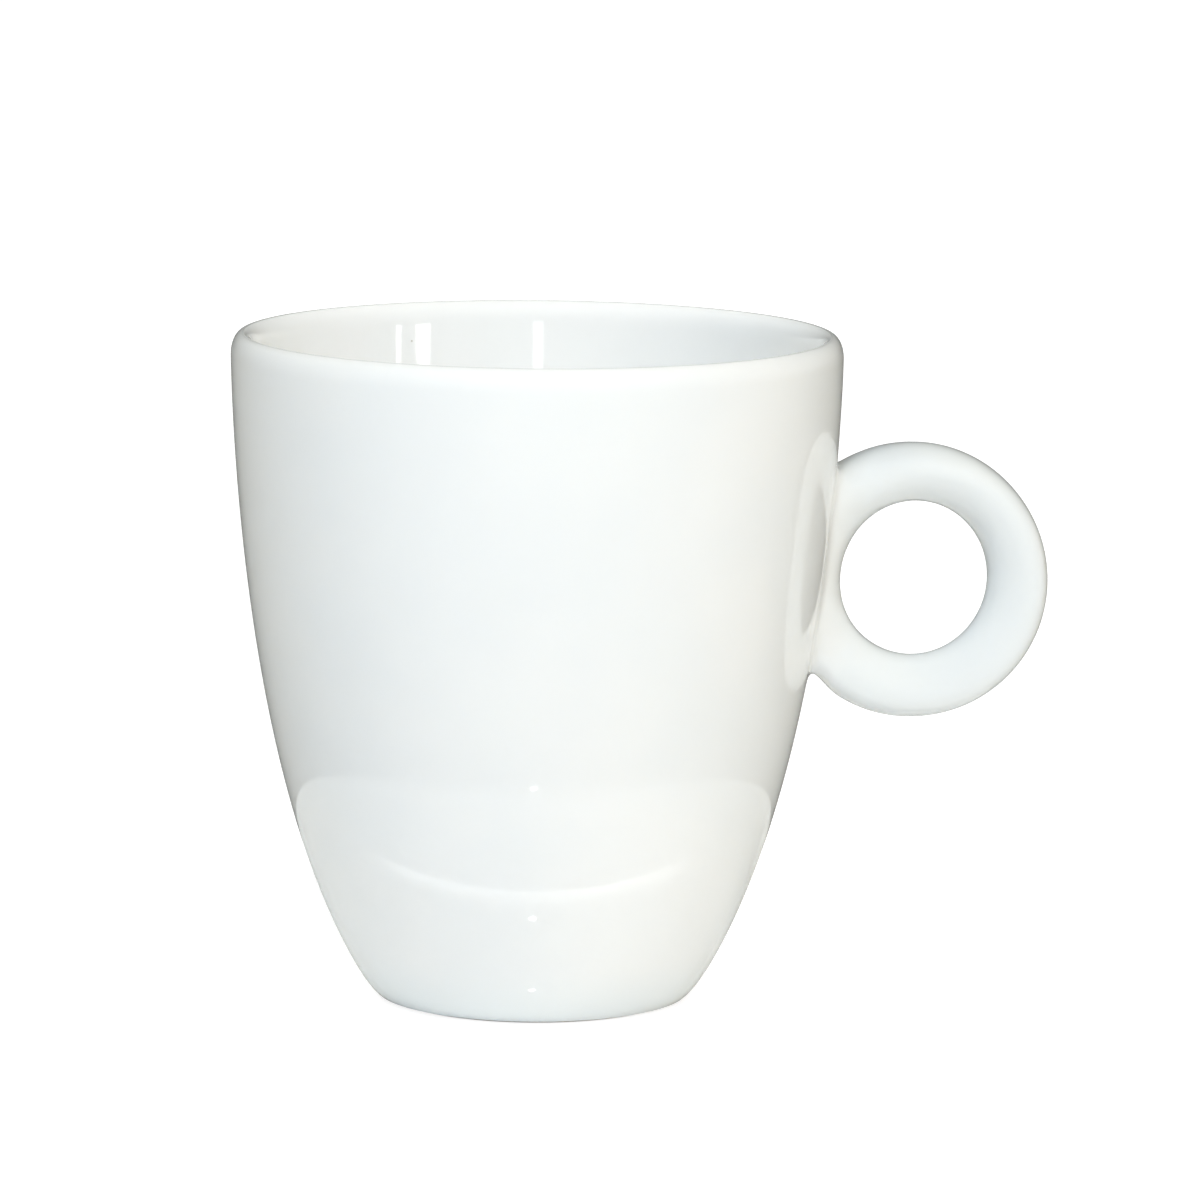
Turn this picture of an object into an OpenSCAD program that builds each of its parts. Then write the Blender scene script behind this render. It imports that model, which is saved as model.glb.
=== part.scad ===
// Porcelain mug with a ring handle, standing on its foot ring.
// The origin is on the cup's axis in the plane that the foot stands on, and the handle points along +X.

/* [Cup] */
// Outer diameter just under the lip
rim_d = 82; // [78:0.5:86]
// Height from the foot to the top of the lip
cup_h = 90; // [86:0.5:94]
// Thickness of the wall at the lip
lip_t = 3.1; // [2.7:0.1:3.7]
// Height of the rounding at the top of the lip
lip_round = 2.9; // [2:0.1:4]
// Outer radius where the wall turns in to the foot
heel_r = 25.4; // [24.5:0.1:26.5]
// Height where the wall turns in to the foot
heel_z = 7; // [6:0.5:8]
// Slope of the wall above the foot, in degrees from level
heel_slope = 62.6; // [60:0.1:65]
// How far the wall keeps that slope before it turns upright
belly = 32; // [28:0.5:36]

/* [Inside] */
// Height of the inner floor
floor_z = 6.2; // [5.6:0.1:7]
// Radius of the flat part of the inner floor
floor_r = 14; // [12:0.5:16]
// Thickness of the wall at the bottom, measured level
base_t = 4; // [3.6:0.1:4.6]

/* [Foot] */
// Outer radius of the face that the mug stands on
foot_r = 19.8; // [19:0.1:20.5]
// Width of the face that the mug stands on
foot_w = 3.2; // [2.6:0.1:3.8]
// Depth of the recess inside the foot ring
recess_h = 1.5; // [1.2:0.1:2]

/* [Handle] */
// Distance from the cup's axis to the middle of the ring
ring_x = 51; // [50:0.25:52]
// Height of the middle of the ring
ring_z = 56.5; // [54:0.5:60]
// Diameter of the finger hole
hole_d = 20.3; // [19:0.1:21]
// Thickness of the ring, across the hole
ring_t = 8.3; // [7.6:0.1:9]
// Width of the ring, along the hole
ring_w = 11; // [10:0.2:12.4]

/* [Clay and glaze] */
// Thickness of the glaze
glaze_t = 0.3; // [0.2:0.05:0.4]
// Thickness of the slip that the handle is stuck on with
slip_t = 0.4; // [0.35:0.05:0.6]
// How far the slip spreads to each side of the handle, and it sags as far again below
slip_spread = 0.4; // [0.3:0.1:0.8]

/* [Hidden] */
$fn = 96;

rim_r = rim_d / 2;
lip_z = cup_h - lip_round;
crest_r = rim_r - lip_t / 2;
recess_r = foot_r - foot_w;
recess_taper = 0.9;
// The wall's curve ends upright over this length under the lip
upright = 2;
// The inner wall's curve starts this far outside the wall's level thickness, and this far above the heel
bend_in = 0.9;
bend_up = 2.6;
inner_belly = belly - 1.5;
// The handle sits well above this height, so the shape that cuts its back starts here
core_z = 10;
wall_steps = 22;
turn_steps = 7;
lip_steps = 6;
// How far along the heel's curve the glaze is wiped away, so that the foot doesn't stick to the kiln shelf
wipe = 0.25;
// The slip's outer face stands this far outside the glazed wall
slip_out = slip_t - glaze_t;

// A curve's point and direction at t: three control points for the turns, four for the walls
function turn(p, t) = pow(1 - t, 2) * p[0] + 2 * t * (1 - t) * p[1] + t * t * p[2];
function turn_dir(p, t) = (1 - t) * (p[1] - p[0]) + t * (p[2] - p[1]);
function wall(p, t) = pow(1 - t, 3) * p[0] + 3 * t * pow(1 - t, 2) * p[1]
    + 3 * t * t * (1 - t) * p[2] + pow(t, 3) * p[3];
function wall_dir(p, t) = pow(1 - t, 2) * (p[1] - p[0]) + 2 * t * (1 - t) * (p[2] - p[1])
    + t * t * (p[3] - p[2]);
// The point p moved out by d, to the right of the direction v
function shift(p, v, d) = p + d * [v[1], -v[0]] / norm(v);

// Control points: the wall leaves the heel at its slope and ends upright under the lip
function wall_curve(r, z, reach, top_r) = [
    [r, z],
    [r + reach * cos(heel_slope), z + reach * sin(heel_slope)],
    [top_r, lip_z - upright],
    [top_r, lip_z],
];
function turn_curve(flat_r, flat_z, r, z) = [
    [flat_r, flat_z],
    [r - (z - flat_z) / tan(heel_slope), flat_z],
    [r, z],
];
bend_r = heel_r - base_t + bend_in;
bend_z = heel_z + bend_up;
outer_turn = turn_curve(foot_r, 0, heel_r, heel_z);
outer_wall = wall_curve(heel_r, heel_z, belly, rim_r);
inner_turn = turn_curve(floor_r, floor_z, bend_r, bend_z);
inner_wall = wall_curve(bend_r, bend_z, inner_belly, rim_r - lip_t);

// Outside from the wiped edge to the crest of the lip, moved out by d
function outside(d) = concat(
    [for (i = [0:turn_steps - 1])
        let (t = wipe + (1 - wipe) * i / turn_steps)
        shift(turn(outer_turn, t), turn_dir(outer_turn, t), d)],
    [for (i = [0:wall_steps - 1])
        let (t = i / wall_steps)
        shift(wall(outer_wall, t), wall_dir(outer_wall, t), d)],
    [for (i = [0:lip_steps])
        let (a = 90 * i / lip_steps)
        [crest_r + (lip_t / 2 + d) * cos(a), lip_z + (lip_round + d) * sin(a)]]
);
// Inside from the axis to the crest of the lip, moved into the wall by d
function inside(d) = concat(
    [[0, floor_z - d]],
    [for (i = [0:turn_steps - 1])
        let (t = i / turn_steps)
        shift(turn(inner_turn, t), turn_dir(inner_turn, t), d)],
    [for (i = [0:wall_steps - 1])
        let (t = i / wall_steps)
        shift(wall(inner_wall, t), wall_dir(inner_wall, t), d)],
    [for (i = [0:lip_steps])
        let (a = 90 * i / lip_steps)
        [crest_r - (lip_t / 2 - d) * cos(a), lip_z + (lip_round - d) * sin(a)]]
);
function backwards(p) = [for (i = [len(p) - 1:-1:0]) p[i]];
function without_last(p) = [for (i = [0:len(p) - 2]) p[i]];

// The cup with its hollow filled, grown by d, which cuts what is stuck on the wall
module wall_core(d) {
    rotate_extrude()
        polygon(concat([[0, core_z]], [for (p = outside(d)) if (p[1] > core_z) p], [[0, cup_h + d]]));
}

// The handle's ring, grown by d all round; its section has round front and back edges
module ring(d) {
    half_t = ring_t / 2;
    edge = ring_w / 2 - half_t;
    translate([ring_x, 0, ring_z])
        rotate([90, 0, 0])
            rotate_extrude()
                translate([hole_d / 2 + half_t, 0]) {
                    square([2 * (half_t + d), 2 * edge], center = true);
                    for (side = [-1, 1])
                        translate([0, side * edge]) circle(r = half_t + d);
                }
}

// The ring's footprint with the slip that has spread round it and sagged
module slip_ring() {
    translate([0, 0, -slip_spread]) ring(slip_spread);
}

// Fired clay: wall, floor and foot ring, bare only on the foot
module cup_body() {
    color("ghostwhite")
        rotate_extrude()
            polygon(concat(
                [[0, recess_h + glaze_t]],
                [[recess_r - recess_taper, recess_h + glaze_t]],
                [[recess_r, 0]],
                [[foot_r, 0]],
                outside(-glaze_t),
                backwards(without_last(inside(glaze_t)))
            ));
}

// Cast ring, its back cut to the curve of the wall
module handle_ring() {
    color("ghostwhite")
        difference() {
            ring(-glaze_t);
            wall_core(slip_out);
        }
}

// Slip between the ring's back and the wall, spread a little way past the ring's sides and underside
module luting_slip() {
    color("gainsboro")
        difference() {
            intersection() {
                slip_ring();
                wall_core(slip_out);
            }
            wall_core(-glaze_t);
        }
}

// Glaze on the outside, from the wiped edge above the foot to the crest of the lip
module outer_glaze() {
    color("azure")
        difference() {
            rotate_extrude()
                polygon(concat(outside(0), backwards(outside(-glaze_t))));
            slip_ring();
        }
}

// Glaze on the inside, from the crest of the lip down to the floor
module inner_glaze() {
    color("floralwhite")
        rotate_extrude()
            polygon(concat(inside(glaze_t), backwards(inside(0))));
}

// Glaze on the ring, which stops at the slip
module handle_glaze() {
    color("mintcream")
        difference() {
            ring(0);
            ring(-glaze_t);
            wall_core(slip_out);
        }
}

// Disc of glaze on the roof of the recess inside the foot ring
module underside_glaze() {
    color("azure")
        translate([0, 0, recess_h])
            cylinder(h = glaze_t, r = recess_r - recess_taper);
}

cup_body();
handle_ring();
luting_slip();
outer_glaze();
inner_glaze();
handle_glaze();
underside_glaze();
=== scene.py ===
"""White porcelain mug with a ring handle: its looks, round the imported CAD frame."""
import bpy
import bmesh
import math
import numpy as np
from mathutils import Matrix, Vector


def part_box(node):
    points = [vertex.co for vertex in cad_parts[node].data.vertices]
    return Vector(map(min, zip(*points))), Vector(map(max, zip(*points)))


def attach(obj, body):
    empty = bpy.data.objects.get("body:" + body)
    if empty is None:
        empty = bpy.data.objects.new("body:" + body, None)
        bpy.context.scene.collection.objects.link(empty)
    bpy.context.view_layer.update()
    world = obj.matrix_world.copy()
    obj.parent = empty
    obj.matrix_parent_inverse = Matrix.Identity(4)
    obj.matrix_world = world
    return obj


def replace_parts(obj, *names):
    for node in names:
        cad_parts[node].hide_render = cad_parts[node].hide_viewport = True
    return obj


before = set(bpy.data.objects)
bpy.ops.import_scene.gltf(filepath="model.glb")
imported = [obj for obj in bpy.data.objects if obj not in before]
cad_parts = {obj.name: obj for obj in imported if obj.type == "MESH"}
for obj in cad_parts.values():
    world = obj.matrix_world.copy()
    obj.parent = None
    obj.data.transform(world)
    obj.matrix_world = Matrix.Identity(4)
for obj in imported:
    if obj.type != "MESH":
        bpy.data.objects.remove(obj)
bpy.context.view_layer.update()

MM = 0.001
CUP_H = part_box("outer_glaze")[1].z
RIM_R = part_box("outer_glaze")[1].y
RING_LOW, RING_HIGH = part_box("handle_glaze")
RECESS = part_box("underside_glaze")

# Sizes that no box of the frame gives
LIP_T = 3.1 * MM
LIP_ROUND = 2.9 * MM
HEEL_R, HEEL_Z = 25.4 * MM, 7 * MM
HEEL_SLOPE = math.radians(62.6)
BELLY, BELLY_IN = 32 * MM, 30.5 * MM
FLOOR_R, FLOOR_Z = 14 * MM, 6.2 * MM
BEND_R, BEND_Z = 22.3 * MM, 9.6 * MM
FOOT_R, FOOT_W = 19.8 * MM, 3.2 * MM
GLAZE_T = 0.3 * MM
RING_T = 8.3 * MM
UPRIGHT = 2 * MM
WIPE = 0.25

LIP_Z = CUP_H - LIP_ROUND
CREST_R = RIM_R - LIP_T / 2
RING_OUT = (RING_HIGH.z - RING_LOW.z) / 2
RING_Z = (RING_HIGH.z + RING_LOW.z) / 2
RING_X = RING_HIGH.x - RING_OUT
RING_R = RING_OUT - RING_T / 2
RING_EDGE = RING_HIGH.y - RING_T / 2

# The joint: how much the ring widens, and how far from the wall the widening and the paring away begin
FLARE, FLARE_REACH, PARED_REACH = 1.2 * MM, 4.5 * MM, 5 * MM
# How far the rounding reaches on top, and how much more it reaches beside and below, in mm
JOINT, JOINT_MORE = 1.6, 1.9

TURNS = 192
# What lies this deep in the cup's wall is cut off
DEEP = 1 * MM
# Points are drawn on to a skin in this many moves, none longer than this
MOVES, LONGEST_MOVE = 16, 0.25 * MM

# The camera stands AWAY from the mug's -Y side, so that the handle turns a little back
AWAY = math.radians(5.5)
LENS, SENSOR = 225.7, 36
EYE_H = 206.6 * MM
LOOK_BESIDE, LOOK_H = 8.7 * MM, 53.97 * MM
ROLL = math.radians(0.57)

# The floor: its own colour, the darker table round the sheet, a painted reflection that only reflections see,
# and its colour and glow to the camera
PALE = "#f6f6f6"
PAINTED_TABLE = "#6a6a6a"
SHADED = "#959595"
FLOOR_LIFT = 0.87
# The mirrored sheet's and fold's radii, and how far behind the mug's axis each is centred
SHEET_R, SHEET_BEHIND = 94.5 * MM, 13.5 * MM
FOLD_IN, FOLD_CREST, FOLD_OUT, FOLD_BEHIND = 65 * MM, 70.2 * MM, 71.2 * MM, 22 * MM
# How bright the fold's painted glow is in reflections, and how much light the floor near the foot adds to the
# heel
PAINTED_FOLD_GLOW = 1.7
BOUNCE = 0.05
# How bright the mirrored room is all round, and towards the camera's left and right
ROOM = 0.02
SIDES = {(-1, 0, 0): 0.3, (1, 0, 0): 0.7}
# Glints before the mug, each with its distance, width and depth in mm and its glow
GLINTS_BEFORE = ((81.8, 4, 2, 7.0), (41.4, 2.2, 1.2, 12.0), (26.5, 1.4, 0.6, 9.0))
# Glints inside the mug, each with its azimuth, width in mm and glow
GLINTS_INSIDE = ((-0.3, 4.5, 3.5), (73, 7.0, 4.5), (90, 2.6, 6.0))
# How far they are out from the axis and down from the rim, and how tall
INSIDE_OUT, INSIDE_DOWN, INSIDE_TALL = 36.6 * MM, 8.4 * MM, 3.4 * MM
# Every lamp's power, size and distance from the mug
LAMP_POWER, LAMP_SIZE, LAMP_AWAY = 20, 0.9, 1.6


# ---------------------------------------------------------------- camera

def aim(obj, eye, target, roll=0.0):
    """Stands obj at eye, looking at target, turned by roll about its line of sight."""
    back = (Vector(eye) - Vector(target)).normalized()
    right = Vector((0, 0, 1)).cross(back).normalized()
    up = back.cross(right)
    turn = Matrix((right, up, back)).transposed().to_4x4()
    obj.matrix_world = Matrix.Translation(eye) @ turn @ Matrix.Rotation(roll, 4, "Z")


def make_camera():
    """A long lens a metre away, a little above the lip, with the handle turned slightly away."""
    data = bpy.data.cameras.new("camera")
    data.sensor_width = SENSOR
    data.lens = LENS
    data.clip_start = 0.01
    camera = bpy.data.objects.new("camera", data)
    bpy.context.scene.collection.objects.link(camera)
    eye = Vector((-math.sin(AWAY), -math.cos(AWAY), EYE_H))
    beside = Vector((math.cos(AWAY), -math.sin(AWAY), 0)) * LOOK_BESIDE
    aim(camera, eye, beside + Vector((0, 0, LOOK_H)), ROLL)
    bpy.context.scene.camera = camera


# ---------------------------------------------------------------- outlines, as (radius, height)

def bezier(points, steps):
    """Points along a Bezier curve, from just its control points."""
    points = [Vector(p) for p in points]
    curve = []
    for i in range(steps + 1):
        left = points
        while len(left) > 1:
            left = [a.lerp(b, i / steps) for a, b in zip(left, left[1:])]
        curve.append(left[0])
    return curve


def wall_curve(r, z, reach, top_r, steps):
    """A wall that leaves the heel at its slope and ends upright under the lip."""
    lean = (r + reach * math.cos(HEEL_SLOPE), z + reach * math.sin(HEEL_SLOPE))
    return bezier([(r, z), lean, (top_r, LIP_Z - UPRIGHT), (top_r, LIP_Z)], steps)


def turn_curve(flat_r, flat_z, r, z, steps):
    """The turn between something level and the bottom of a wall."""
    return bezier([(flat_r, flat_z), (r - (z - flat_z) / math.tan(HEEL_SLOPE), flat_z), (r, z)], steps)


def lip_curve(side, steps):
    """A quarter of the lip's rounding, from the wall to the crest; side is 1 outside and -1 inside."""
    angles = [math.pi / 2 * i / steps for i in range(steps + 1)]
    half = side * LIP_T / 2
    return [Vector((CREST_R + half * math.cos(a), LIP_Z + LIP_ROUND * math.sin(a))) for a in angles]


def offset(outline, d):
    """The outline moved d to its right-hand side."""
    moved = []
    for i, p in enumerate(outline):
        along = (outline[min(i + 1, len(outline) - 1)] - outline[max(i - 1, 0)]).normalized()
        moved.append(p + d * Vector((along.y, -along.x)))
    return moved


def outside_outline(steps=1):
    """The glazed outside, from the wiped edge over the foot to the crest of the lip."""
    turn = turn_curve(FOOT_R, 0, HEEL_R, HEEL_Z, 16 * steps)
    wall = wall_curve(HEEL_R, HEEL_Z, BELLY, RIM_R, 56 * steps)
    return turn[round(WIPE * 16 * steps):-1] + wall[:-1] + lip_curve(1, 12 * steps)


def inside_outline():
    """The glazed inside, from the middle of the floor to the crest of the lip."""
    turn = turn_curve(FLOOR_R, FLOOR_Z, BEND_R, BEND_Z, 14)
    wall = wall_curve(BEND_R, BEND_Z, BELLY_IN, RIM_R - LIP_T, 48)
    floor = [Vector((FLOOR_R * i / 6, FLOOR_Z)) for i in range(6)]
    return floor + turn[:-1] + wall[:-1] + lip_curve(-1, 12)


# ---------------------------------------------------------------- mesh tools

def spin(outline, turns=TURNS, angle=2 * math.pi, start=0.0):
    """A bmesh that turns the outline about the mug's axis."""
    bm = bmesh.new()
    first = Matrix.Rotation(start, 3, "Z")
    verts = [bm.verts.new(first @ Vector((p.x, 0, p.y))) for p in outline]
    edges = [bm.edges.new(pair) for pair in zip(verts, verts[1:])]
    bmesh.ops.spin(bm, geom=verts + edges, cent=(0, 0, 0), axis=(0, 0, 1), dvec=(0, 0, 0),
                   angle=angle, steps=turns, use_merge=abs(angle - 2 * math.pi) < 1e-6)
    bmesh.ops.remove_doubles(bm, verts=bm.verts, dist=0.001 * MM)
    bmesh.ops.recalc_face_normals(bm, faces=bm.faces)
    return bm


def add_piece(name, bm, materials):
    """Turns a bmesh into a smooth piece that rides on the mug's one body."""
    mesh = bpy.data.meshes.new(name)
    bm.to_mesh(mesh)
    bm.free()
    mesh.shade_smooth()
    piece = bpy.data.objects.new(name, mesh)
    bpy.context.scene.collection.objects.link(piece)
    for material in materials:
        mesh.materials.append(material)
    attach(piece, "root")
    return piece


def coords(bm):
    return np.array([v.co for v in bm.verts], float)


# ---------------------------------------------------------------- the glazed outside, with the handle

PROFILE = np.array(outside_outline(8))


def cup_distance(p):
    """How far points lie outside the cup's wall, measured square to the wall."""
    r = np.hypot(p[:, 0], p[:, 1])
    slope = np.gradient(PROFILE[:, 0], PROFILE[:, 1])
    lean = np.interp(p[:, 2], PROFILE[:, 1], slope)
    return (r - np.interp(p[:, 2], PROFILE[:, 1], PROFILE[:, 0])) / np.sqrt(1 + lean ** 2)


def flare(p):
    """How much the ring widens to each side towards its root."""
    return FLARE * (1 - smooth_step(cup_distance(p), 0, FLARE_REACH))


def ring_distance(p):
    """How far points lie outside the ring, whose section is oval and fullest towards its outer edge.

    It is thinnest on its upper side away from the cup, and pared away under its root.
    """
    reach = np.maximum(np.hypot(p[:, 0] - RING_X, p[:, 2] - RING_Z), MM)
    x, z = (p[:, 0] - RING_X) / reach, (p[:, 2] - RING_Z) / reach
    root = 1 - smooth_step(cup_distance(p), 0, PARED_REACH)
    # Both edges stray from round by fractions of a millimetre
    outer = RING_OUT - (0.05 + 0.12 * x - 0.2 * z * z + 0.6 * root * smooth_step(-z, 0.3, 0.8)) * MM
    hole = RING_OUT - RING_T + (0.22 * x + 0.2 * z + 0.38 * z * z) * MM
    # The fullest line is shifted outwards, most on the side away from the cup
    side = np.abs(p[:, 1]) / (RING_HIGH.y + flare(p))
    fullest = (outer + hole) / 2 + 0.85 * MM * (1 + 0.93 * x - 0.37 * z) * (1 - root) * side ** 2
    # Towards the cup the oval is boxier
    side = side ** (1 + 0.6 * np.maximum(-x, 0))
    thick = (outer - hole) / 2
    return (np.hypot((reach - fullest) / thick, side) - 1) * thick


def smooth_step(x, low, high):
    t = np.clip((x - low) / (high - low), 0, 1)
    return t * t * (3 - 2 * t)


def fillet(p):
    """How far the glaze and wiped slip reach round the joint: little on top, more beside and below."""
    beside = smooth_step(np.abs(p[:, 1]), 1.5 * MM, 5.5 * MM)
    below = 1 - smooth_step(p[:, 2], RING_Z - 12 * MM, RING_Z + 4 * MM)
    return (JOINT + JOINT_MORE * beside + JOINT_MORE * below * (1 - beside)) * MM


def skin_distance(p):
    """How far points lie outside the cup and ring together, with the joint rounded."""
    cup, ring, reach = cup_distance(p), ring_distance(p), fillet(p)
    h = np.maximum(reach - np.abs(cup - ring), 0) / reach
    return np.minimum(cup, ring) - h ** 3 * reach / 6


def slope_of(distance, p):
    """The direction in which this distance grows fastest at each point."""
    step = 0.01 * MM
    rise = [distance(p + step * axis) - distance(p - step * axis) for axis in np.eye(3)]
    slope = np.stack(rise, axis=1)
    return slope / np.linalg.norm(slope, axis=1, keepdims=True)


def outside_normals(p):
    """Normals of the finished skin: the lip is an ellipse in section, and the rest follows skin_distance."""
    normals = slope_of(skin_distance, p)
    lip = p[:, 2] > LIP_Z
    r = np.hypot(p[lip, 0], p[lip, 1])
    out = (r - CREST_R) / (LIP_T / 2) ** 2
    up = (p[lip, 2] - LIP_Z) / LIP_ROUND ** 2
    lip_normals = np.stack([out * p[lip, 0] / r, out * p[lip, 1] / r, up], axis=1)
    normals[lip] = lip_normals / np.linalg.norm(lip_normals, axis=1, keepdims=True)
    return normals


# The window in the wall for the handle's root, the slab behind it, the remeshing grain and the gap to stitch
WINDOW_TURN = 2 * math.pi / TURNS * 14
WINDOW_LOW, WINDOW_HIGH = RING_Z - 24 * MM, RING_Z + 21 * MM
SLAB_T, SLAB_SPARE, SLAB_TURN = 2.5 * MM, 4 * MM, math.radians(4)
GRAIN = 0.42 * MM
GAP = 0.35 * MM


def in_window(p, spare=0.0):
    """Whether a point's direction and height lie in the window round the handle's root."""
    beside = abs(math.atan2(p.y, p.x)) < WINDOW_TURN + spare / RIM_R
    return beside and WINDOW_LOW - spare < p.z < WINDOW_HIGH + spare


def wall_with_window():
    """The cup's outside with a window for the handle's root, and the window's lowest and highest edge."""
    bm = spin(outside_outline())
    faces = [f for f in bm.faces if in_window(f.calc_center_median())]
    heights = [v.co.z for f in faces for v in f.verts]
    bmesh.ops.delete(bm, geom=faces, context="FACES")
    return bm, min(heights), max(heights)


def wall_slab():
    """A thick piece of wall, a little wider than the window, for the ring to be fused to."""
    outline = [p for p in outside_outline() if WINDOW_LOW - SLAB_SPARE < p.y < WINDOW_HIGH + SLAB_SPARE]
    outline += offset(outline, -SLAB_T)[::-1]
    wide = WINDOW_TURN + SLAB_TURN
    bm = spin(outline + outline[:1], 48, 2 * wide, -wide)
    bmesh.ops.holes_fill(bm, edges=[e for e in bm.edges if e.is_boundary], sides=0)
    bmesh.ops.recalc_face_normals(bm, faces=bm.faces)
    return bm


def ring_solid():
    """The whole ring, spun from its section and widened where it meets the wall."""
    bm = bmesh.new()
    section = []
    for side in (1, -1):
        for i in range(13):
            a = side * math.pi / 2 + math.pi * (i / 12 - 0.5)
            section.append(Vector((RING_X + RING_R + RING_T / 2 * math.cos(a),
                                   side * RING_EDGE + RING_T / 2 * math.sin(a), RING_Z)))
    verts = [bm.verts.new(p) for p in section]
    edges = [bm.edges.new((a, b)) for a, b in zip(verts, verts[1:] + verts[:1])]
    bmesh.ops.spin(bm, geom=verts + edges, cent=(RING_X, 0, RING_Z), axis=(0, 1, 0), dvec=(0, 0, 0),
                   angle=2 * math.pi, steps=160, use_merge=True)
    bmesh.ops.remove_doubles(bm, verts=bm.verts, dist=0.001 * MM)
    widths = 1 + flare(coords(bm)) / RING_HIGH.y
    for v, width in zip(bm.verts, widths):
        v.co.y *= width
    bmesh.ops.recalc_face_normals(bm, faces=bm.faces)
    return bm


def fused(solids, size):
    """Overlapping solids fused into one skin of even squares."""
    mesh = bpy.data.meshes.new("scratch")
    both = bmesh.new()
    for solid in solids:
        solid.to_mesh(mesh)
        solid.free()
        both.from_mesh(mesh)
    both.to_mesh(mesh)
    both.free()
    obj = bpy.data.objects.new("scratch", mesh)
    bpy.context.scene.collection.objects.link(obj)
    fuse = obj.modifiers.new("fuse", "REMESH")
    fuse.mode = "VOXEL"
    fuse.voxel_size = size
    result = bpy.data.meshes.new_from_object(obj.evaluated_get(bpy.context.evaluated_depsgraph_get()))
    bpy.data.objects.remove(obj)
    bm = bmesh.new()
    bm.from_mesh(result)
    return bm


def draw_on_to(bm, distance, below=0.0):
    """Moves every vertex to where the distance is zero, or this far below it."""
    p = coords(bm)
    for _ in range(MOVES):
        p -= slope_of(distance, p) * np.clip(distance(p) + below, -LONGEST_MOVE, LONGEST_MOVE)[:, None]
    for v, place in zip(bm.verts, p):
        v.co = place


def handle_root(low, high):
    """The ring and the wall round its root as one skin, cut just inside a window from low to high."""
    bm = fused([wall_slab(), ring_solid()], GRAIN)
    deep = cup_distance(coords(bm)) < -DEEP
    bm.verts.ensure_lookup_table()
    bmesh.ops.delete(bm, geom=[bm.verts[i] for i in np.nonzero(deep)[0]], context="VERTS")
    draw_on_to(bm, skin_distance)
    turn = WINDOW_TURN - GAP / RIM_R
    cuts = [((0, 0, low + GAP), (0, 0, -1)), ((0, 0, high - GAP), (0, 0, 1))]
    cuts += [((0, 0, 0), (-math.sin(turn), side * math.cos(turn), 0)) for side in (1, -1)]
    for place, square in cuts:
        bmesh.ops.bisect_plane(bm, geom=list(bm.verts) + list(bm.edges) + list(bm.faces), dist=0.001 * MM,
                               plane_co=place, plane_no=square, clear_outer=True)
    return bm


def window_rim(bm, apart_from=()):
    """The vertices on the window's edge, in order round it, each with its direction from the middle."""
    open_verts = {v for e in bm.edges if e.is_boundary for v in e.verts}
    rim = {v for v in open_verts if in_window(v.co, 2 * MM)} - set(apart_from)
    middle = (WINDOW_LOW + WINDOW_HIGH) / 2
    turns = [(math.atan2(v.co.z - middle, math.atan2(v.co.y, v.co.x) * RIM_R), v) for v in rim]
    return sorted(turns, key=lambda pair: pair[0])


def stitch(bm, outer, inner):
    """A strip of triangles between two rims whose vertices differ in number, which bridging can't match."""
    outer = outer + [(outer[0][0] + 2 * math.pi, outer[0][1])]
    inner = inner + [(inner[0][0] + 2 * math.pi, inner[0][1])]
    i = j = 0
    while i < len(outer) - 1 or j < len(inner) - 1:
        if j == len(inner) - 1 or (i < len(outer) - 1 and outer[i + 1][0] < inner[j + 1][0]):
            bm.faces.new((outer[i][1], outer[i + 1][1], inner[j][1]))
            i += 1
        else:
            bm.faces.new((outer[i][1], inner[j + 1][1], inner[j][1]))
            j += 1


def outside_skin():
    """The glazed face of the outside: the cup's wall and the handle, with no seam between them."""
    bm, low, high = wall_with_window()
    outer = window_rim(bm)
    root = handle_root(low, high)
    mesh = bpy.data.meshes.new("scratch")
    root.to_mesh(mesh)
    root.free()
    bm.from_mesh(mesh)
    stitch(bm, outer, window_rim(bm, [v for _, v in outer]))
    bmesh.ops.recalc_face_normals(bm, faces=bm.faces)
    return bm


def coat(bm):
    """Gives the skin its glaze's thickness: a copy one thickness behind it, joined on at the open rims."""
    front, rims = list(bm.verts), [e for e in bm.edges if e.is_boundary]
    normals = outside_normals(coords(bm))
    copied = bmesh.ops.duplicate(bm, geom=list(bm.verts) + list(bm.edges) + list(bm.faces))
    back = copied["vert_map"]
    for v, normal in zip(front, normals):
        back[v].co = v.co - Vector(normal) * GLAZE_T
    bmesh.ops.reverse_faces(bm, faces=[f for f in copied["geom"] if isinstance(f, bmesh.types.BMFace)])
    for a, b in [e.verts for e in rims]:
        bm.faces.new((b, a, back[a], back[b]))
    bmesh.ops.recalc_face_normals(bm, faces=bm.faces)


def on_skin(p):
    """Which points are on the glazed face, and not on the back of the glaze."""
    r = np.hypot(p[:, 0], p[:, 1])
    lip = ((r - CREST_R) / (LIP_T / 2)) ** 2 + ((p[:, 2] - LIP_Z) / LIP_ROUND) ** 2
    return np.where(p[:, 2] > LIP_Z, np.abs(lip - 1) < 0.02, np.abs(skin_distance(p)) < 0.02 * MM)


def set_exact_normals(mesh):
    """Gives the glazed face the skin's own normals, so that reflections run smoothly over it."""
    p = np.array([v.co for v in mesh.vertices], float)
    normals = outside_normals(p)
    outer = on_skin(p)
    corners = np.zeros((len(mesh.loops), 3))
    for face in mesh.polygons:
        verts = list(face.vertices)
        if outer[verts].all():
            corners[face.loop_start:face.loop_start + face.loop_total] = normals[verts]
    mesh.normals_split_custom_set(corners.tolist())


def make_glaze_outside(glaze):
    """One coat of glaze over the cup and its handle, open at the wiped foot and at the lip's crest."""
    bm = outside_skin()
    coat(bm)
    piece = add_piece("glaze_outside", bm, [glaze])
    set_exact_normals(piece.data)
    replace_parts(piece, "outer_glaze", "handle_glaze")


# ---------------------------------------------------------------- the other pieces

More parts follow.
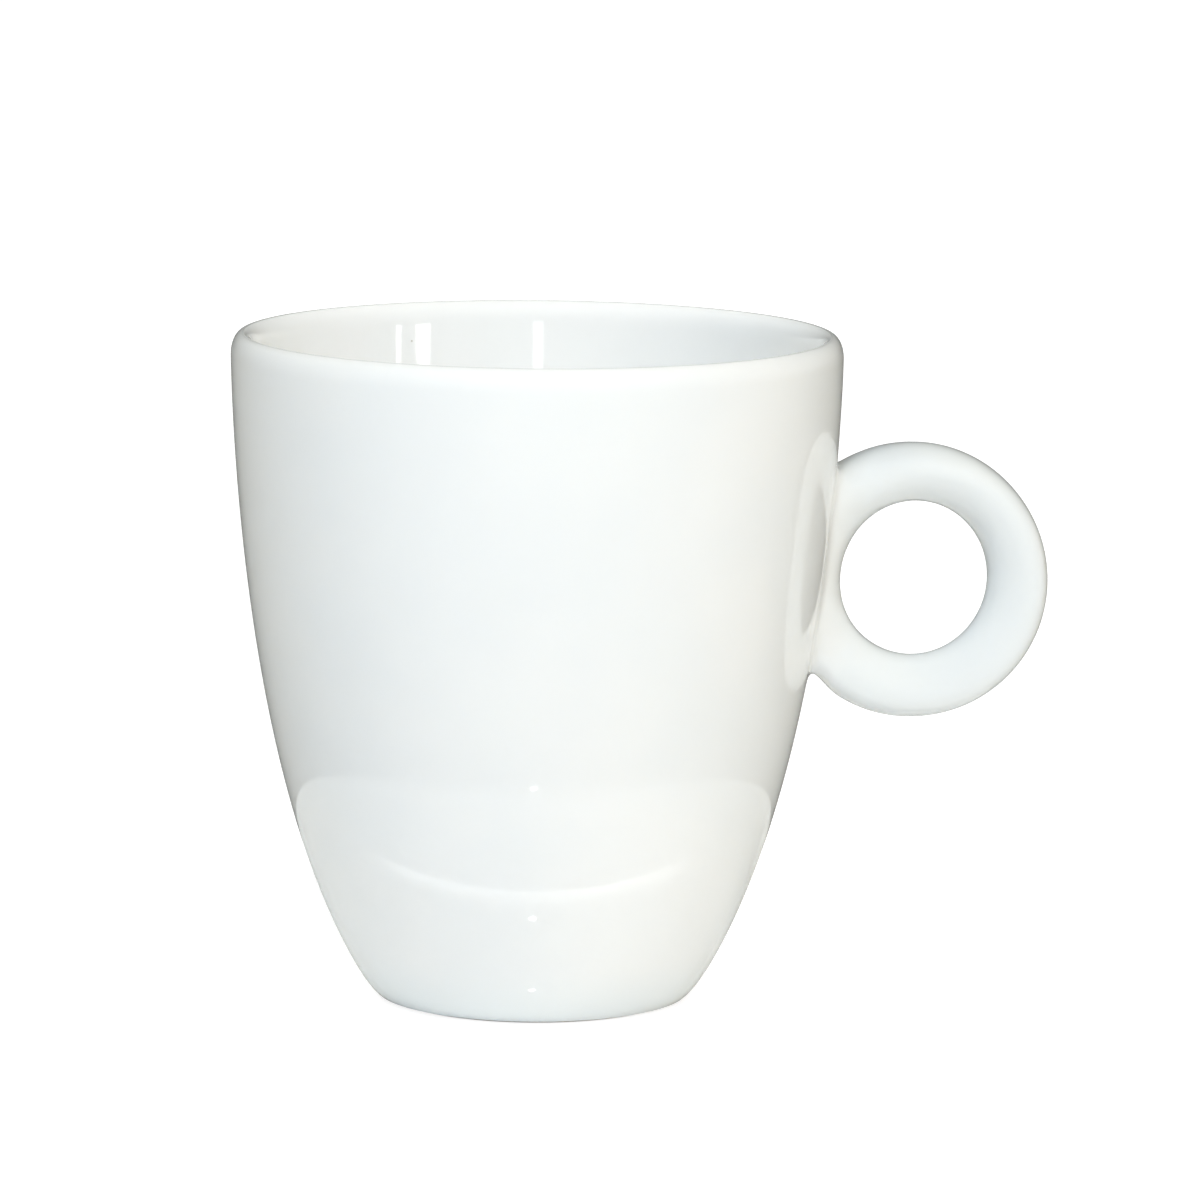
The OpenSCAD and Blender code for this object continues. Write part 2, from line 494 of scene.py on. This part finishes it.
def make_glaze_inside(glaze):
    """The coat of glaze on the inside, up to the lip's crest, where it meets the outside's."""
    bm = spin(inside_outline())
    if sum(f.normal.z for f in bm.faces if f.calc_center_median().xy.length < 5 * MM) < 0:
        bmesh.ops.reverse_faces(bm, faces=bm.faces)
    bmesh.ops.solidify(bm, geom=list(bm.faces), thickness=GLAZE_T)
    piece = add_piece("glaze_inside", bm, [glaze])
    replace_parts(piece, "inner_glaze")


def make_cup_clay(bisque):
    """The fired clay of the cup, seen only at its foot ring, whose edges are rubbed round."""
    roof_r, roof_z = RECESS[1].x, RECESS[1].z
    soft = 0.5 * MM
    foot_in, foot_out = FOOT_R - FOOT_W, FOOT_R
    recess = bezier([(roof_r, roof_z), (roof_r + 0.1 * MM, roof_z / 2), (foot_in - 0.1 * MM, soft)], 6)
    inner_edge = bezier([recess[-1], (foot_in, 0), (foot_in + soft, 0)], 6)
    outer = offset(outside_outline(), -GLAZE_T)
    outer_edge = bezier([(foot_out - soft, 0), (foot_out, 0), outer[0]], 6)
    inner = offset(inside_outline(), GLAZE_T)
    outline = [Vector((0, roof_z))] + recess[:-1] + inner_edge + outer_edge + outer[1:] + inner[:-1][::-1]
    outline[-1].x = 0
    piece = add_piece("cup_clay", spin(outline), [bisque])
    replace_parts(piece, "cup_body")


def make_ring_clay(bisque):
    """The fired clay of the ring, just over a coat of glaze below its skin, cut off inside the cup's wall."""
    bm = ring_solid()
    draw_on_to(bm, ring_distance, 1.2 * GLAZE_T)
    inside = [v for v, d in zip(bm.verts, cup_distance(coords(bm))) if d < -DEEP]
    bmesh.ops.delete(bm, geom=inside, context="VERTS")
    bmesh.ops.holes_fill(bm, edges=[e for e in bm.edges if e.is_boundary], sides=0)
    bmesh.ops.recalc_face_normals(bm, faces=bm.faces)
    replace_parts(add_piece("ring_clay", bm, [bisque]), "handle_ring")


def make_glaze_underside(glaze):
    """The disc of glaze in the recess under the foot, with a soft edge."""
    low, high = RECESS[0].z, RECESS[1].z
    r = RECESS[1].x
    edge = bezier([(r - 0.6 * MM, low), (r, low), (r, high)], 6)
    outline = [Vector((r * i / 8, low)) for i in range(8)] + edge + [Vector((0, high))]
    piece = add_piece("glaze_underside", spin(outline), [glaze])
    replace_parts(piece, "underside_glaze")


# ---------------------------------------------------------------- materials

def linear(hex_colour):
    """A linear colour from an sRGB hex value."""
    parts = [int(hex_colour[i:i + 2], 16) / 255 for i in (1, 3, 5)]
    return [c / 12.92 if c <= 0.04045 else ((c + 0.055) / 1.055) ** 2.4 for c in parts] + [1.0]


def new_material(name):
    """An empty material with its tree and its shader."""
    material = bpy.data.materials.new(name)
    material.use_nodes = True
    return material, material.node_tree, material.node_tree.nodes["Principled BSDF"]


def add(tree, kind, links=(), **settings):
    """Adds a node. settings are its own options, and links gives its inputs a constant or a node's output."""
    node = tree.nodes.new(kind)
    for key, value in settings.items():
        setattr(node, key, value)
    for key, value in dict(links).items():
        if isinstance(value, bpy.types.Node):
            value = value.outputs[0]
        if isinstance(value, bpy.types.NodeSocket):
            tree.links.new(value, node.inputs[key])
        else:
            node.inputs[key].default_value = value
    return node


def per_metre(mm):
    """A noise scale whose grains are this many millimetres across."""
    return 1 / (mm * MM)


def grain(tree, place, mm, detail=2.0):
    """Noise from 0 to 1 at a real size."""
    links = {"Vector": place, "Scale": per_metre(mm), "Detail": detail, "Roughness": 0.5}
    return add(tree, "ShaderNodeTexNoise", links)


def ramp(tree, value, low, high, out_low=0.0, out_high=1.0):
    """Takes value from low..high to out_low..out_high, smoothly and no further."""
    links = {0: value, 1: low, 2: high, 3: out_low, 4: out_high}
    return add(tree, "ShaderNodeMapRange", links, interpolation_type="SMOOTHSTEP")


def times(tree, first, second):
    """One value times another."""
    return add(tree, "ShaderNodeMath", {0: first, 1: second}, operation="MULTIPLY")


def blend(tree, share, first, second):
    """Mixes two colours, each a hex value or a node."""
    links = {0: share}
    for key, colour in ((6, first), (7, second)):
        links[key] = linear(colour) if isinstance(colour, str) else colour.outputs[2]
    return add(tree, "ShaderNodeMix", links, data_type="RGBA")


def relief(tree, height, depth_mm, normal=None):
    """A bump whose height from 0 to 1 stands for this depth in millimetres."""
    links = {"Height": height, "Distance": depth_mm * MM, "Strength": 1.0}
    if normal is not None:
        links["Normal"] = normal
    return add(tree, "ShaderNodeBump", links)


def glaze_material(name, body, thin, pooled):
    """Clear gloss glaze fired on white porcelain: mirror-smooth, faintly rippled, whiter where it runs thin.

    The slow ripple bends reflections the way a dipped glaze does, and the pooled tint gathers at the heel.
    """
    material, tree, shader = new_material(name)
    place = add(tree, "ShaderNodeTexCoord").outputs["Object"]
    height = add(tree, "ShaderNodeSeparateXYZ", {0: place}).outputs["Z"]

    cloud = ramp(tree, grain(tree, place, 24), 0.35, 0.65)
    colour = blend(tree, cloud, body, thin)
    lip = ramp(tree, height, LIP_Z, CUP_H)
    colour = blend(tree, times(tree, lip, 0.6), colour, thin)
    heel = ramp(tree, height, 1 * MM, 9 * MM, 0.8, 0.0)
    colour = blend(tree, heel, colour, pooled)

    # Painted shade: the coat is painted a shade greyer on the handle, where the light falls dimmer
    across = add(tree, "ShaderNodeSeparateXYZ", {0: place}).outputs["X"]
    handle = ramp(tree, across, RIM_R - 3 * MM, RIM_R + 2 * MM)
    colour = blend(tree, handle, colour, "#eceeee")

    # Iron specks 0.3 mm across, in about one cell in seventy
    cells = add(tree, "ShaderNodeTexVoronoi", {"Vector": place, "Scale": per_metre(7)})
    dot = ramp(tree, cells.outputs["Distance"], 0.012, 0.03, 1.0, 0.0)
    chosen = add(tree, "ShaderNodeSeparateColor", {0: cells.outputs["Color"]})
    rare = add(tree, "ShaderNodeMath", {0: chosen.outputs[0], 1: 0.985}, operation="GREATER_THAN")
    speck = times(tree, dot, rare)
    colour = blend(tree, times(tree, speck, 0.55), colour, "#b3a999")
    tree.links.new(colour.outputs[2], shader.inputs["Base Color"])

    haze = ramp(tree, grain(tree, place, 9, 3), 0.3, 0.75, 0.012, 0.03)
    tree.links.new(haze.outputs[0], shader.inputs["Roughness"])
    ripple = relief(tree, grain(tree, place, 14, 1), 0.008)
    peel = relief(tree, grain(tree, place, 2.2, 1), 0.0006, ripple)
    pits = relief(tree, speck, 0.01, peel)
    tree.links.new(pits.outputs[0], shader.inputs["Normal"])
    shader.inputs["IOR"].default_value = 1.5
    return material


def bisque_material():
    """Fired porcelain with no glaze: matt, fine-gritted and creamy, with grey rubbed on under the foot."""
    material, tree, shader = new_material("bare_porcelain")
    place = add(tree, "ShaderNodeTexCoord").outputs["Object"]
    height = add(tree, "ShaderNodeSeparateXYZ", {0: place}).outputs["Z"]
    colour = blend(tree, ramp(tree, grain(tree, place, 3, 4), 0.3, 0.7), "#ece7dd", "#f4f1ea")
    scuffs = ramp(tree, grain(tree, place, 1.6, 5), 0.5, 0.68)
    low = ramp(tree, height, 0.0, 0.25 * MM, 0.55, 0.0)
    colour = blend(tree, times(tree, scuffs, low), colour, "#a9a59d")
    # The grit is 0.05 mm in real clay, and drawn at 0.25 mm so that it shows
    grit = grain(tree, place, 0.25, 2)
    tree.links.new(colour.outputs[2], shader.inputs["Base Color"])
    tree.links.new(ramp(tree, grit, 0.3, 0.7, 0.62, 0.85).outputs[0], shader.inputs["Roughness"])
    tree.links.new(relief(tree, grit, 0.02).outputs[0], shader.inputs["Normal"])
    return material


# ---------------------------------------------------------------- stage and lights

def make_floor():
    """A plain pale floor. For reflections only it is painted as a round white sheet with a bright glowing
    fold and a darker table round it: painted reflections.
    """
    bm = bmesh.new()
    bmesh.ops.create_circle(bm, cap_ends=True, segments=96, radius=4)
    material, tree, shader = new_material("pale_floor")
    tree.nodes.remove(shader)
    paths = add(tree, "ShaderNodeLightPath").outputs
    place = add(tree, "ShaderNodeTexCoord").outputs["Object"]

    def reach(behind):
        centre = Vector((math.sin(AWAY), math.cos(AWAY), 0)) * behind
        moved = add(tree, "ShaderNodeVectorMath", {0: place, 1: centre}, operation="SUBTRACT")
        return add(tree, "ShaderNodeVectorMath", {0: moved}, operation="LENGTH").outputs["Value"]

    # Painted reflection: only reflections see the darker table round the sheet
    sheet = ramp(tree, reach(SHEET_BEHIND), SHEET_R - MM, SHEET_R + MM)
    mirrored = blend(tree, sheet, PALE, PAINTED_TABLE)
    colour = blend(tree, paths["Is Glossy Ray"], PALE, mirrored)
    colour = blend(tree, paths["Is Camera Ray"], colour, SHADED)
    matt = add(tree, "ShaderNodeBsdfDiffuse", {"Color": colour.outputs[2]})

    # The fold is a painted reflection, a band that glows only for reflections: crisp on its far edge, and
    # fading out round the sides
    out = reach(FOLD_BEHIND)
    painted_fold_band = times(tree, ramp(tree, out, FOLD_IN, FOLD_CREST), ramp(tree, out, FOLD_CREST, FOLD_OUT, 1.0, 0.0))
    onward = add(tree, "ShaderNodeVectorMath", {0: place}, operation="NORMALIZE").outputs["Vector"]
    ahead = (-math.sin(AWAY), -math.cos(AWAY), 0)
    front = add(tree, "ShaderNodeVectorMath", {0: onward, 1: ahead}, operation="DOT_PRODUCT").outputs["Value"]
    fold = times(tree, times(tree, painted_fold_band, ramp(tree, front, 0.25, 0.65)), PAINTED_FOLD_GLOW)
    near = ramp(tree, reach(0), 30 * MM, 60 * MM, BOUNCE, 0.0)
    glow = add(tree, "ShaderNodeMath", {0: times(tree, fold, paths["Is Glossy Ray"]),
                                        1: times(tree, near, paths["Is Diffuse Ray"])}, operation="ADD")
    lift = ramp(tree, reach(0), 0.3, 1.5, FLOOR_LIFT, 1.0)
    glow = add(tree, "ShaderNodeMath", {0: paths["Is Camera Ray"], 1: lift, 2: glow},
               operation="MULTIPLY_ADD")
    lit = add(tree, "ShaderNodeEmission", {"Strength": glow})
    both = add(tree, "ShaderNodeAddShader", {0: matt, 1: lit})
    tree.links.new(both.outputs[0], tree.nodes["Material Output"].inputs[0])
    mesh = bpy.data.meshes.new("floor")
    bm.to_mesh(mesh)
    bm.free()
    mesh.materials.append(material)
    floor = bpy.data.objects.new("floor", mesh)
    bpy.context.scene.collection.objects.link(floor)


def add_glint(name, azimuth, out, height, size, facing, glow):
    """A small lamp that only the glaze mirrors, out from the mug's axis and facing up or inwards."""
    data = bpy.data.lights.new(name, "AREA")
    data.shape = "ELLIPSE"
    data.size, data.size_y = size
    data.energy = glow * math.pi * size[0] * size[1] / 4 * math.pi
    glint = bpy.data.objects.new(name, data)
    bpy.context.scene.collection.objects.link(glint)
    a = math.radians(azimuth) - AWAY
    away = Vector((math.sin(a), -math.cos(a), 0))
    place = away * out + Vector((0, 0, height))
    if facing == "up":
        turn = Matrix.Rotation(a, 4, "Z") @ Matrix.Rotation(math.pi, 4, "X")
        glint.matrix_world = Matrix.Translation(place) @ turn
    else:
        aim(glint, place, place - away)
    glint.visible_camera = glint.visible_diffuse = False


def make_glints():
    """The glints of the lamps: a row before the mug, and three inside under the lip."""
    for i, (out, wide, deep, glow) in enumerate(GLINTS_BEFORE):
        add_glint("glint_before_%d" % i, 0, out * MM, 0.3 * MM, (wide * MM, deep * MM), "up", glow)
    for i, (azimuth, wide, glow) in enumerate(GLINTS_INSIDE):
        size = (wide * MM, INSIDE_TALL)
        add_glint("glint_inside_%d" % i, azimuth, INSIDE_OUT, CUP_H - INSIDE_DOWN, size, "in", glow)


def add_lamp(name, azimuth, elevation, colour):
    """A broad soft disc that faces the mug. Azimuth 0 is the camera's side and 90 is to its right."""
    data = bpy.data.lights.new(name, "AREA")
    data.shape = "DISK"
    data.size = LAMP_SIZE
    data.energy = LAMP_POWER
    data.color = colour
    light = bpy.data.objects.new(name, data)
    bpy.context.scene.collection.objects.link(light)
    a, e = math.radians(azimuth) - AWAY, math.radians(elevation)
    centre = Vector((0, 0, CUP_H / 2))
    away = Vector((math.sin(a) * math.cos(e), -math.cos(a) * math.cos(e), math.sin(e)))
    aim(light, centre + away * LAMP_AWAY, centre)
    light.visible_glossy = False


def make_world():
    """White behind everything. The glaze mirrors a dimmer room, and matt surfaces get no light from it."""
    world = bpy.data.worlds.new("pale_room")
    bpy.context.scene.world = world
    world.use_nodes = True
    tree = world.node_tree
    paths = add(tree, "ShaderNodeLightPath")
    white = add(tree, "ShaderNodeBackground", {"Color": linear("#ffffff"), "Strength": 1.0})
    way = add(tree, "ShaderNodeTexCoord").outputs["Generated"]
    total = ROOM
    for direction, glow in SIDES.items():
        towards = Vector(direction)
        towards.rotate(Matrix.Rotation(-AWAY, 3, "Z"))
        facing = add(tree, "ShaderNodeVectorMath", {0: way, 1: towards}, operation="DOT_PRODUCT")
        facing = add(tree, "ShaderNodeMath", {0: facing.outputs["Value"], 1: 0.0}, operation="MAXIMUM")
        squared = add(tree, "ShaderNodeMath", {0: facing, 1: 2.0}, operation="POWER")
        total = add(tree, "ShaderNodeMath", {0: squared, 1: glow, 2: total}, operation="MULTIPLY_ADD")
    mirrored = times(tree, total, paths.outputs["Is Glossy Ray"])
    room = add(tree, "ShaderNodeBackground", {"Color": linear("#ffffff"), "Strength": mirrored})
    seen = add(tree, "ShaderNodeMixShader", {0: paths.outputs["Is Camera Ray"], 1: room, 2: white})
    tree.links.new(seen.outputs[0], tree.nodes["World Output"].inputs[0])


# ---------------------------------------------------------------- the scene

make_camera()
glaze = glaze_material("glazed_porcelain", "#f4f5f5", "#f7f7f6", "#eff3f3")
# The inside's glaze is painted whiter than the outside's: painted light, a lighter copy of the same glaze to
# brighten the inside
glaze_in_painted_lighter = glaze_material("glazed_porcelain_inside_painted_lighter", "#fafbfb", "#fcfcfc", "#f6f9f9")
bisque = bisque_material()
make_glaze_outside(glaze)
make_glaze_inside(glaze_in_painted_lighter)
make_cup_clay(bisque)
make_glaze_underside(glaze)
make_ring_clay(bisque)
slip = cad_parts["luting_slip"].data
slip.materials.clear()
slip.materials.append(bisque)
make_floor()
make_glints()
add_lamp("key", 0, 50, (0.46, 0.533, 0.60))
add_lamp("low_front", 0, 15, (0.03, 0.075, 0.15))
add_lamp("left", -70, 50, (0.426, 0.406, 0.347))
add_lamp("right", 35, 15, (0.33, 0.285, 0.206))
add_lamp("high_right", 35, 50, (0.324, 0.286, 0.225))
add_lamp("back_left", -150, 35, (0.30, 0.31, 0.30))
add_lamp("back_right", 150, 35, (0.25, 0.27, 0.265))
make_world()
bpy.context.scene.view_settings.view_transform = "Standard"
